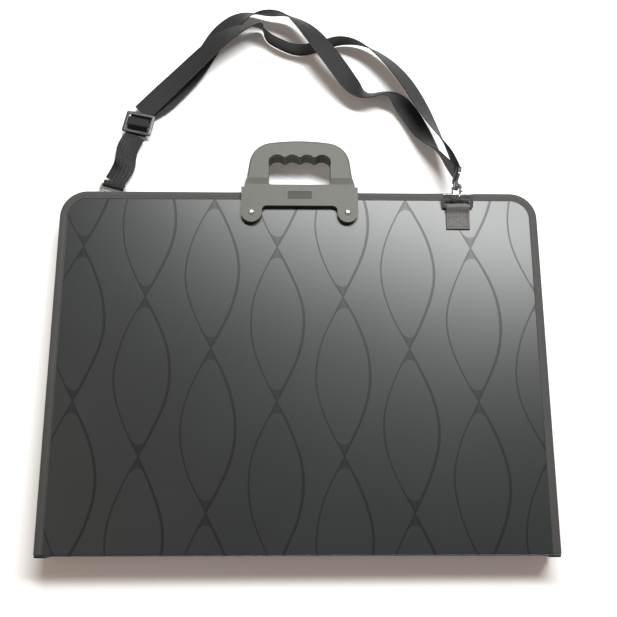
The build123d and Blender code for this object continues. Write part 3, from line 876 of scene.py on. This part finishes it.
@dataclass
class Shell:
    """One half of the case: its sheet, binding, zip half, handle, rivets and tab."""

    side: str
    body: str
    facing: float
    middle: float = 0.0283
    half_width: float = 0.325
    top: float = 0.203
    foot: float = -0.2729
    corner: float = 0.036
    outer: float = 0.018
    sheet: float = 0.0018
    binding_width: float = 0.011
    binding_face: float = 0.0008
    tape_inset: float = 0.0032
    tape_thickness: float = 0.0008
    coil_low: float = 0.0007
    coil_high: float = 0.0029
    tab_x: float = 0.216
    bar_y: float = 0.1815
    tab_width: float = 0.032
    tab_reach: float = 0.031
    bar_bore: float = 0.00245
    web: float = 0.0015
    label_y: float = 0.196
    label_half: tuple[float, float] = (0.0166, 0.0056)
    label_floor: tuple[float, float] = (0.0235, 0.0251)
    grip_rounding: float = 0.0026
    grip_flat_area: float = 8e-5
    rivet_x: float = 0.0655
    rivet_drop: float = 0.0315
    rivet_clear: float = 0.004
    plate: float = 0.0253

    def level(self, rise: float) -> float:
        """Height of a place that is so far from the case's middle."""
        return self.middle + self.facing * rise

    def outline(self, inset: float, foot: float, steps: int = 14) -> list[Vector]:
        """The case's outline from the left foot, over the top, to the right foot.

        Args:
            inset: Distance in from the edge.
            foot: The y of both ends.
            steps: Points round each corner.

        Returns:
            Points at the case's middle height.
        """
        radius = self.corner - inset
        spots = []
        left, high = -self.half_width + inset, self.top - inset
        rows = 60
        for i in range(rows):
            spots.append((left, foot + (high - radius - foot) * i / rows))
        for i in range(steps + 1):
            turn = math.pi - math.pi / 2 * i / steps
            spots.append((left + radius + radius * math.cos(turn),
                          high - radius + radius * math.sin(turn)))
        for i in range(1, rows):
            spots.append((left + radius - 2 * (left + radius) * i / rows, high))
        mirrored = [(-x, y) for x, y in reversed(spots[: rows + steps + 1])]
        return [Vector((x, y, self.middle)) for x, y in spots + mirrored]

    def wall(self, name: str, profile: Sequence[tuple[float, float]], foot: float,
             finish: Finish) -> bpy.types.Object:
        """Carry a section round three sides of the case.

        Args:
            name: The piece's name.
            profile: The section: distance in from the edge, and distance from the middle height.
            foot: The y of both ends.
            finish: The finish.

        Returns:
            The piece.
        """
        rim = self.outline(0.0, foot)
        build = bmesh.new()
        layer = build.loops.layers.uv.new("UVMap")
        girth = [0.0]
        for (a, b), (c, d) in zip(profile, list(profile[1:]) + [profile[0]]):
            girth.append(girth[-1] + math.hypot(c - a, d - b))
        travelled = [0.0]
        for a, b in zip(rim[:-1], rim[1:]):
            travelled.append(travelled[-1] + (b - a).length)
        lines = [self.outline(inset, foot) for inset, _ in profile]
        rings = [[build.verts.new((lines[k][i].x, lines[k][i].y, self.level(rise)))
                  for k, (_, rise) in enumerate(profile)] for i in range(len(rim))]
        count = len(profile)
        for i in range(len(rim) - 1):
            for k in range(count):
                j = (k + 1) % count
                face = build.faces.new((rings[i][k], rings[i][j], rings[i + 1][j], rings[i + 1][k]))
                marks = ((girth[k], travelled[i]), (girth[k + 1], travelled[i]),
                         (girth[k + 1], travelled[i + 1]), (girth[k], travelled[i + 1]))
                for loop, mark in zip(face.loops, marks):
                    loop[layer].uv = mark
        for ring, length in ((rings[0], 0.0), (rings[-1], travelled[-1])):
            face = build.faces.new(ring)
            for loop, mark in zip(face.loops, girth):
                loop[layer].uv = (mark, length)
        return new_piece(name, build, finish, 35.0)

    def build_binding(self) -> None:
        """Sew the tape that is folded round the sheet's edge, with its line of stitches."""
        out, leg = self.outer + self.binding_face, self.outer - self.sheet - self.binding_face
        inner = self.outer - self.sheet
        w = self.binding_width
        section = [(w, out - 0.0005), (w - 0.0004, out - 0.00015), (w - 0.0022, out - 0.0001),
                   (w - 0.0030, out - 0.00035), (w - 0.0038, out - 0.0001), (0.0055, out),
                   (0.0030, out - 0.0001), (0.0014, out - 0.0004), (0.0004, out - 0.0009),
                   (0.0, out - 0.0017), (0.0004, leg + 0.0008), (0.0014, leg + 0.0001), (w, leg),
                   (w, inner), (0.001, inner), (0.001, self.outer), (w, self.outer)]
        piece = self.wall(f"{self.side}_edge_binding", section, self.foot, Finish.BINDING)
        seat(piece, self.body, "binding", f"{self.side}_binding")
        row = BeadRow("binding_stitch", Bead.STITCH, 0.0042, (0.0034, 0.00062, 0.0005), Finish.THREAD)
        seam = self.outline(w - 0.003, self.foot + 0.002)
        line = [Vector((p.x, p.y, self.level(out - 0.0002))) for p in seam]
        inside = [Vector((p.x, p.y, self.level(leg))) for p in seam]
        stitches = row.lay(f"{self.side}_binding_stitches", [line, inside])
        seat(stitches, self.body, "binding")

    def build_zip(self) -> None:
        """Sew in this half of the zip: its tape and its coil."""
        foot = self.foot + 0.0012
        near, far = self.tape_inset, self.tape_inset + self.tape_thickness
        leg = self.outer - self.sheet - self.binding_face
        mid = (self.coil_high + leg) / 2
        section = [(near, leg), (near - 0.00012, mid), (near, self.coil_high), (far, self.coil_high),
                   (far + 0.0001, mid), (far, leg)]
        tape = self.wall(f"{self.side}_zip_cloth", section, foot, Finish.ZIP_TAPE)
        seat(tape, self.body, "zip_tape", f"{self.side}_zip_tape")
        height = self.coil_high - self.coil_low
        row = BeadRow("zip_coil", Bead.TOOTH, 0.0018, (0.0013, 0.0024, height), Finish.COIL, 0.2)
        shift = 0.0009 if self.facing > 0 else 0.0
        line = [Vector((p.x, p.y, self.level((self.coil_high + self.coil_low) / 2)))
                for p in self.outline(self.tape_inset + self.tape_thickness / 2, foot + 0.004 + shift)]
        coil = row.lay(f"{self.side}_zip_teeth", [line])
        seat(coil, self.body, "zip_teeth", f"{self.side}_zip_coil")

    def build_tab(self) -> None:
        """Fold the webbing tab round its ring and sew it down."""
        bar_z = self.level(self.outer + self.bar_bore + self.web)
        turn = self.bar_bore + self.web / 2
        lower, upper = -turn, -turn + self.web
        slope = 4.5 * self.bar_bore
        run = [(self.tab_reach, lower), (self.tab_reach * 0.6, lower), (0.0, lower)]
        run += [(-turn * math.sin(a), -turn * math.cos(a)) for a in
                (math.pi * k / 14 for k in range(1, 14))]
        run += [(0.0, turn), (0.002, turn - 0.0003), (slope * 0.5, 0.0002),
                (slope * 0.82, upper + 0.0006), (slope + 0.0015, upper), (0.019, upper + 0.0001),
                (self.tab_reach, upper)]
        path = [Vector((self.tab_x, self.bar_y - x, bar_z + self.facing * z)) for x, z in run]
        build = sweep(path, [Vector((1, 0, 0))] * len(path), web_profile(self.tab_width, self.web))
        # The tab's finish is painted lighter than the strap's webbing, a painted sheen from the lamp's
        # glare.
        piece = new_piece(f"{self.side}_webbing_tab", build, Finish.TAB)
        seat(piece, self.body, "webbing", f"{self.side}_tab")
        row = BeadRow("tab_stitch", Bead.STITCH, 0.0028, (0.0024, 0.0007, 0.0006), Finish.STRAP_THREAD)
        top = bar_z + self.facing * (upper + self.web / 2)
        half = self.tab_width / 2 - 0.003
        near, far = self.bar_y - 0.0145, self.bar_y - self.tab_reach + 0.003
        spots = [(-half, near), (half, near), (half, far), (-half, far), (-half, near)]
        box = [Vector((self.tab_x + x, y, top)) for x, y in spots]
        cross = [[box[0], box[2]], [box[1], box[3]]]
        second = [Vector((self.tab_x + x, near + 0.0016, top)) for x in (-half, half)]
        stitches = row.lay(f"{self.side}_tab_stitches", [box, *cross, second])
        seat(stitches, self.body, "webbing")

    def build_handle(self) -> None:
        """Dress the handle and make its rivets; its washers are dressed in build."""
        wide, tall = self.label_half
        wider, taller = wide + 0.001, tall + 0.001
        crisp = [(-wider, self.label_y - taller, wider, self.label_y + taller)]
        rivet_y, clear = self.top - self.rivet_drop, self.rivet_clear
        rivet_places = (-self.rivet_x, self.rivet_x)
        crisp += [(x - clear, rivet_y - clear, x + clear, rivet_y + clear) for x in rivet_places]
        handle = softened_copy(f"{self.side}_handle", Finish.HANDLE, self.grip_rounding, 4,
                               f"{self.side}_grip", crisp, self.grip_flat_area)
        seat(handle, self.body, "handle", f"{self.side}_handle")
        handle.data.materials.append(Finish.LABEL.material)
        for face in handle.data.polygons:
            spot = face.center
            deep = (spot.z - self.middle) * self.facing
            if (abs(spot.x) < wide and abs(spot.y - self.label_y) < tall
                    and self.label_floor[0] < deep < self.label_floor[1]):
                face.material_index = 1
        build = bmesh.new()
        plate = self.plate
        for x in rivet_places:
            lathe(Vector((x, rivet_y, self.middle)),
                  [(0.0, 0.0147), (0.0016, 0.0147), (0.002, 0.0151), (0.002, plate), (0.0042, plate),
                   (0.00435, plate + 0.0003), (0.0042, plate + 0.0007), (0.0039, plate + 0.0009),
                   (0.0036, plate + 0.0016), (0.0028, plate + 0.0024), (0.0016, plate + 0.0029),
                   (0.0, plate + 0.003)], self.facing, build)
        rivets = new_piece(f"{self.side}_rivets", build, Finish.RIVET, 35.0)
        seat(rivets, self.body, "rivet", f"{self.side}_handle_rivets")

    def build(self) -> None:
        """Make and dress all of this half."""
        dress(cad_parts[f"{self.side}_panel"], Finish.SHEET)
        dress(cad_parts[f"{self.side}_zip_stops"], Finish.ENAMEL)
        dress(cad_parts[f"{self.side}_handle_washers"], Finish.RIVET)
        dress(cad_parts[f"{self.side}_ring"], Finish.NICKEL)
        self.build_binding()
        self.build_zip()
        self.build_handle()
        self.build_tab()


@dataclass
class Spine:
    """The strip between the two living hinges, and its bound ends."""

    half_width: float = 0.325
    width: float = 0.015
    outer: float = -0.277
    inner: float = -0.2724
    low: float = 0.0138
    high: float = 0.0428

    def build(self) -> None:
        """Dress the strip and sew its ends."""
        dress(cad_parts["spine_panel"], Finish.SHEET)
        ends = []
        for side in (-1, 1):
            x = side * (self.half_width - self.width / 2)
            y = (self.outer + self.inner) / 2
            depth, half = (self.inner - self.outer) / 2, self.width / 2
            section = [(-half, -depth * 0.6), (-half, depth * 0.6), (-half * 0.85, depth),
                       (half * 0.85, depth), (half, depth * 0.6), (half, -depth * 0.6),
                       (half * 0.85, -depth), (-half * 0.85, -depth)]
            path = [Vector((x, y, self.low + (self.high - self.low) * i / 8)) for i in range(9)]
            build = sweep(path, [Vector((1, 0, 0))] * len(path), section)
            ends.append(new_piece(f"spine_end_{side}", build, Finish.BINDING, 35.0))
        seat(join("spine_end_bindings", ends), "spine", "binding", "spine_bindings")


@dataclass
class ZipRunners:
    """The two sliders and their pulls."""

    names: tuple[str, str] = ("left", "right")
    rounding: float = 0.0003

    def build(self) -> None:
        """Round and dress each slider and pull."""
        for name in self.names:
            for part in ("slider", "pull"):
                piece = softened_copy(f"{name}_zip_{part}", Finish.ENAMEL, self.rounding, 2)
                seat(piece, f"{name}_{part}", "zip_metal", f"{name}_zip_{part}")


# ---------------------------------------------------------------- the shoulder strap


@dataclass
class Strap:
    """The shoulder strap: two free strands, a short end, its turns, its adjuster and its hooks."""

    width: float = 0.030
    thickness: float = 0.0015
    adjuster_at: Point = (-0.233, 0.323, 0.010)
    adjuster_turn: float = math.radians(-12.0)
    weave_end: float = 0.018
    under_bar: float = -0.0026
    sewn_low: float = -0.00445
    bar_half: float = 0.0018
    slot: float = 0.010
    gap: float = 0.00035
    steps: int = 10
    outer_route: list[tuple[float, float, float, float]] = field(default_factory=lambda: [
        (-0.205, 0.366, 0.010, 0), (-0.172, 0.398, 0.016, 8), (-0.140, 0.428, 0.024, 12),
        (-0.112, 0.452, 0.031, 22), (-0.080, 0.472, 0.031, 42), (-0.057, 0.480, 0.022, 75),
        (-0.051, 0.464, 0.017, 90), (-0.036, 0.453, 0.017, 90), (-0.004, 0.438, 0.017, 90),
        (0.028, 0.446, 0.017, 90), (0.060, 0.459, 0.017, 85), (0.094, 0.451, 0.020, 65),
        (0.126, 0.424, 0.024, 45), (0.152, 0.390, 0.027, 35), (0.172, 0.352, 0.029, 35),
        (0.190, 0.315, 0.030, 50), (0.205, 0.282, 0.035, 72), (0.215, 0.256, 0.042, 88)])
    inner_route: list[tuple[float, float, float, float]] = field(default_factory=lambda: [
        (-0.206, 0.350, 0.0045, 0), (-0.180, 0.378, 0.005, 0), (-0.154, 0.408, 0.007, 8),
        (-0.137, 0.440, 0.008, 5), (-0.117, 0.474, 0.012, 12), (-0.088, 0.498, 0.014, 24),
        (-0.052, 0.499, 0.023, 80), (-0.018, 0.494, 0.028, 62), (0.006, 0.470, 0.036, 32),
        (0.028, 0.440, 0.040, 14), (0.052, 0.408, 0.036, 10), (0.076, 0.378, 0.024, 12),
        (0.098, 0.366, 0.016, 50), (0.124, 0.374, 0.016, 60), (0.144, 0.366, 0.011, 25),
        (0.160, 0.344, 0.009, 5), (0.176, 0.314, 0.010, 15), (0.191, 0.286, 0.018, 50),
        (0.204, 0.258, 0.034, 84)])
    short_route: list[tuple[float, float, float, float]] = field(default_factory=lambda: [
        (-0.246, 0.290, 0.009, 12), (-0.248, 0.272, 0.013, 30), (-0.249, 0.256, 0.011, 18),
        (-0.257, 0.243, 0.008, 4)])
    right_ends: tuple[Point, Point] = ((0.2210345, 0.2328495, 0.0453963),
                                       (0.2155852, 0.2335951, 0.0453963))
    left_end: Point = (-0.2630977, 0.2327287, 0.0077606)
    left_turn_height: float = 0.0055
    right_along: Point = (0.13, 0.95, -0.28)
    left_along: Point = (0.26, 0.966, 0.0)
    adjuster_rounding: float = 0.0007

    def glide_place(self, x: float, z: float) -> Vector:
        """A place on the adjuster's long axis: metres along the webbing, and metres up."""
        turn = self.adjuster_turn
        return Vector(self.adjuster_at) + Vector((-math.sin(turn) * x, math.cos(turn) * x, z))

    def build_strand(self, name: str, node: str, start: Vector, start_roll: float,
                     route: Sequence[tuple[float, float, float, float]], finish_at: Vector,
                     finish_roll: float, eye: str, near: int) -> None:
        """Lay one strand: a near stretch that follows the adjuster, and a far one that follows an eye.

        Args:
            name: The strand's name.
            node: The CAD node that it stands for.
            start: Its first point.
            start_roll: Its roll there, in degrees.
            route: Its control points, each with a roll.
            finish_at: Its last point.
            finish_roll: Its roll there.
            eye: The body of the hook's eye at its last stretch, which only the log names.
            near: How many of the control points the near stretch takes.
        """
        places = [tuple(start)] + [r[:3] for r in route] + [tuple(finish_at)]
        rolls = [start_roll] + [r[3] for r in route] + [finish_roll]
        path = smooth_line(places, self.steps)
        turns = [p.x for p in smooth_line([(r / 100, 0.0, 0.01 * i) for i, r in enumerate(rolls)],
                                          self.steps)]
        across = []
        for i, _ in enumerate(path):
            forward = (path[min(i + 1, len(path) - 1)] - path[max(i - 1, 0)]).normalized()
            level = Vector((0, 0, 1)).cross(forward).normalized()
            across.append(Matrix.Rotation(-math.radians(turns[i] * 100), 3, forward) @ level)
        cut = near * self.steps
        for label, body, run, sides in (("near", "adjuster", path[:cut + 1], across[:cut + 1]),
                                        ("far", eye, path[cut:], across[cut:])):
            build = sweep(run, sides, web_profile(self.width, self.thickness))
            piece = new_piece(f"{name}_{label}", build, Finish.WEBBING)
            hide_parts(node)
            if label == "near":
                tuple(run[0])
                tuple(run[-1])
                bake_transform(piece)
            else:
                hold = max(len(run) - 1 - 3 * self.steps, 0)
                tuple(run[hold])
                tuple(run[-1])
                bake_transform(piece)
            length = sum((b - a).length for a, b in zip(run[:-1], run[1:]))
            log.info("%s follows %s and is %.3f m long", piece.name, body, length)
            if length >= 6 * self.width:
                tuple(run[0])
                [tuple(p) for p in run]

    def build_strip(self, name: str, node: str, body: str, path: Sequence[Vector],
                    across: Vector) -> None:
        """Make a bent strip of the webbing that stays on its metal.

        Args:
            name: The piece's name.
            node: The CAD node that it stands for.
            body: The body that it rides on.
            path: Its centreline.
            across: The direction across it.
        """
        build = sweep(path, [across] * len(path), web_profile(self.width, self.thickness))
        seat(new_piece(name, build, Finish.WEBBING), body, "webbing", node)

    def build_turn(self, name: str, node: str, body: str, ends: tuple[Vector, Vector],
                   across: Vector, reach: float = 0.006) -> None:
        """Bend webbing round a hook's eye.

        Args:
            name: The piece's name.
            node: The CAD node that it stands for.
            body: The body that it rides on.
            ends: The middles of its two ends.
            across: The direction across it.
            reach: The straight part past the bar.
        """
        apart = ends[1] - ends[0]
        radius = apart.length / 2
        middle = (ends[0] + ends[1]) / 2
        away = across.cross(apart).normalized()
        low, high = frame_box(node)
        hook = (low + high) / 2 - middle
        if (away * reach - hook).length > (-away * reach - hook).length:
            away = -away
        centre = middle + away * reach
        up = apart.normalized()
        path = [ends[0]] + [centre - up * radius * math.cos(a) + away * radius * math.sin(a)
                            for a in (math.pi * k / 16 for k in range(17))] + [ends[1]]
        self.build_strip(name, node, body, path, across)

    def build_weave(self) -> None:
        """Weave the webbing through the adjuster and sew its end round the middle bar."""
        half = self.thickness / 2
        top = 0.0015 + self.gap + half
        side = self.bar_half + self.gap + half
        over = top + self.thickness + self.gap
        bar = Vector((math.cos(self.adjuster_turn), math.sin(self.adjuster_turn), 0))
        sewn = [(self.weave_end, self.sewn_low), (0.0085, self.sewn_low), (0.0045, -top), (-side, -top),
                (-side, top), (side, top), (side, -top + 0.0013)]
        self.build_strip("strap_end_loop", "strap_sewn_loop", "adjuster",
                         rounded_run([self.glide_place(x, z) for x, z in sewn], 0.001), bar)
        low, in_slot, on_bar = self.under_bar, self.bar_half + self.slot - 0.0014, self.bar_half + 0.0034
        woven = [(self.weave_end, low), (in_slot, low), (on_bar, over), (-on_bar, over),
                 (-in_slot, low), (-self.weave_end, low)]
        self.build_strip("strap_through_adjuster", "strap_weave", "adjuster",
                         rounded_run([self.glide_place(x, z) for x, z in woven], 0.0025), bar)

    def build(self) -> None:
        """Make the whole strap."""
        outer_start = self.glide_place(self.weave_end, self.under_bar)
        inner_start = self.glide_place(self.weave_end, self.sewn_low)
        short_start = self.glide_place(-self.weave_end, self.under_bar)
        right_a, right_b = (Vector(p) for p in self.right_ends)
        left_end = Vector(self.left_end)
        self.build_strand("strap_outer_strand", "strap_outer", outer_start, 0, self.outer_route,
                          right_a, 90, "right_eye", 3)
        self.build_strand("strap_inner_strand", "strap_inner", inner_start, 0, self.inner_route,
                          right_b, 90, "right_eye", 3)
        self.build_strand("strap_short_strand", "strap_short", short_start, 0, self.short_route,
                          left_end, 0, "left_eye", 2)
        self.build_weave()
        right_along = Vector(self.right_along).normalized()
        right_up = (Vector((0, 0, 1)) - right_along * right_along.z).normalized()
        self.build_turn("strap_right_bend", "strap_right_turn", "right_eye", (right_a, right_b),
                        right_up)
        left_along = Vector(self.left_along).normalized()
        left_level = left_along.cross(Vector((0, 0, 1))).normalized()
        self.build_turn("strap_left_bend", "strap_left_turn", "left_eye",
                        (left_end, left_end - Vector((0, 0, self.left_turn_height))), left_level)
        adjuster = softened_copy("strap_adjuster", Finish.ADJUSTER, self.adjuster_rounding, 3)
        seat(adjuster, "adjuster", "adjuster", "strap_adjuster")
        for side in ("left", "right"):
            for part in ("claw", "gate", "eye"):
                dress(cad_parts[f"{side}_hook_{part}"], Finish.NICKEL)


def frame_box(node: str) -> tuple[Vector, Vector]:
    """Lowest and highest corners of a CAD node."""
    low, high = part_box(node)
    return Vector(low), Vector(high)


# ---------------------------------------------------------------- studio


@dataclass
class Studio:
    """The floor, the lights and the camera."""

    camera_at: Point = (-0.0085, -0.2201, 1.0755)
    camera_turn: tuple[float, float, float] = (14.111, -1.125, -0.058)
    focal: float = 801.9
    image: float = 617.0
    key_at: Point = (0.32, 0.90, 1.55)
    key_size: tuple[float, float] = (1.5, 0.32)
    key_power: float = 58.0
    key_colour: Point = (0.985, 1.0, 0.985)
    fill_at: Point = (-1.6, -0.6, 2.2)
    fill_size: tuple[float, float] = (2.0, 2.0)
    fill_power: float = 8.0
    fill_colour: Point = (1.0, 0.84, 0.70)
    sky: tuple[float, float, float] = (1.0, 0.70, 0.50)
    mirrored_sky: tuple[float, float, float] = (0.80, 0.82, 0.85)
    sky_strength: float = 0.22

    def build_camera(self) -> None:
        """Set the camera over the case."""
        data = bpy.data.cameras.new("view")
        data.sensor_width = 36.0
        data.lens = self.focal / self.image * data.sensor_width
        camera = bpy.data.objects.new("view", data)
        camera.location = self.camera_at
        camera.rotation_euler = [math.radians(a) for a in self.camera_turn]
        bpy.context.scene.collection.objects.link(camera)
        bpy.context.scene.camera = camera

    def build_floor(self) -> None:
        """Lay the pale floor."""
        build = bmesh.new()
        bmesh.ops.create_grid(build, x_segments=1, y_segments=1, size=6.0)
        floor = new_piece("floor", build, Finish.FLOOR)
        floor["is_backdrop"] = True

    def build_light(self, name: str, at: Point, size: tuple[float, float], power: float,
                    colour: tuple[float, float, float]) -> None:
        """Hang one soft lamp that faces the case.

        Args:
            name: The lamp's name.
            at: Where it hangs.
            size: Its width and height in metres.
            power: Its power in watts.
            colour: Its colour.
        """
        data = bpy.data.lights.new(name, "AREA")
        data.shape, data.energy, data.color = "RECTANGLE", power, colour
        data.size, data.size_y = size
        lamp = bpy.data.objects.new(name, data)
        lamp.location = at
        lamp.rotation_euler = (Vector((0, 0, 0)) - Vector(at)).to_track_quat("-Z", "Y").to_euler()
        bpy.context.scene.collection.objects.link(lamp)

    def build(self) -> None:
        """Set up the whole studio."""
        self.build_camera()
        self.build_floor()
        self.build_light("key", self.key_at, self.key_size, self.key_power, self.key_colour)
        self.build_light("fill", self.fill_at, self.fill_size, self.fill_power, self.fill_colour)
        world = bpy.data.worlds.new("studio")
        world.use_nodes = True
        back = world.node_tree.nodes["Background"]
        path = world.node_tree.nodes.new("ShaderNodeLightPath")
        blend = world.node_tree.nodes.new("ShaderNodeMix")
        blend.data_type = "RGBA"
        blend.inputs[6].default_value = (*self.sky, 1)
        blend.inputs[7].default_value = (*self.mirrored_sky, 1)
        world.node_tree.links.new(path.outputs["Is Glossy Ray"], blend.inputs[0])
        world.node_tree.links.new(blend.outputs[2], back.inputs["Color"])
        back.inputs["Strength"].default_value = self.sky_strength
        bpy.context.scene.world = world
        bpy.context.scene.view_settings.view_transform = "Standard"


def write_sizes(before: tuple) -> None:
    """Measure the CAD model's box and the finished model's box; neither is written.

    Args:
        before: The box straight after loading.
    """
    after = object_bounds()
    plain: Callable = lambda box: [[float(v) for v in corner] for corner in box]
    {"cad": plain(before), "visual": plain(after)}


def main() -> None:
    """Build the case, the strap and the studio."""
    logging.basicConfig(level=logging.INFO, format="%(name)s: %(message)s")
    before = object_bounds()
    Studio().build()
    Strap().build()
    Shell("front", "front_shell", 1.0).build()
    Shell("back", "back_shell", -1.0, tab_x=-0.270).build()
    Spine().build()
    ZipRunners().build()
    write_sizes(before)


if __name__ == "__main__":
    main()
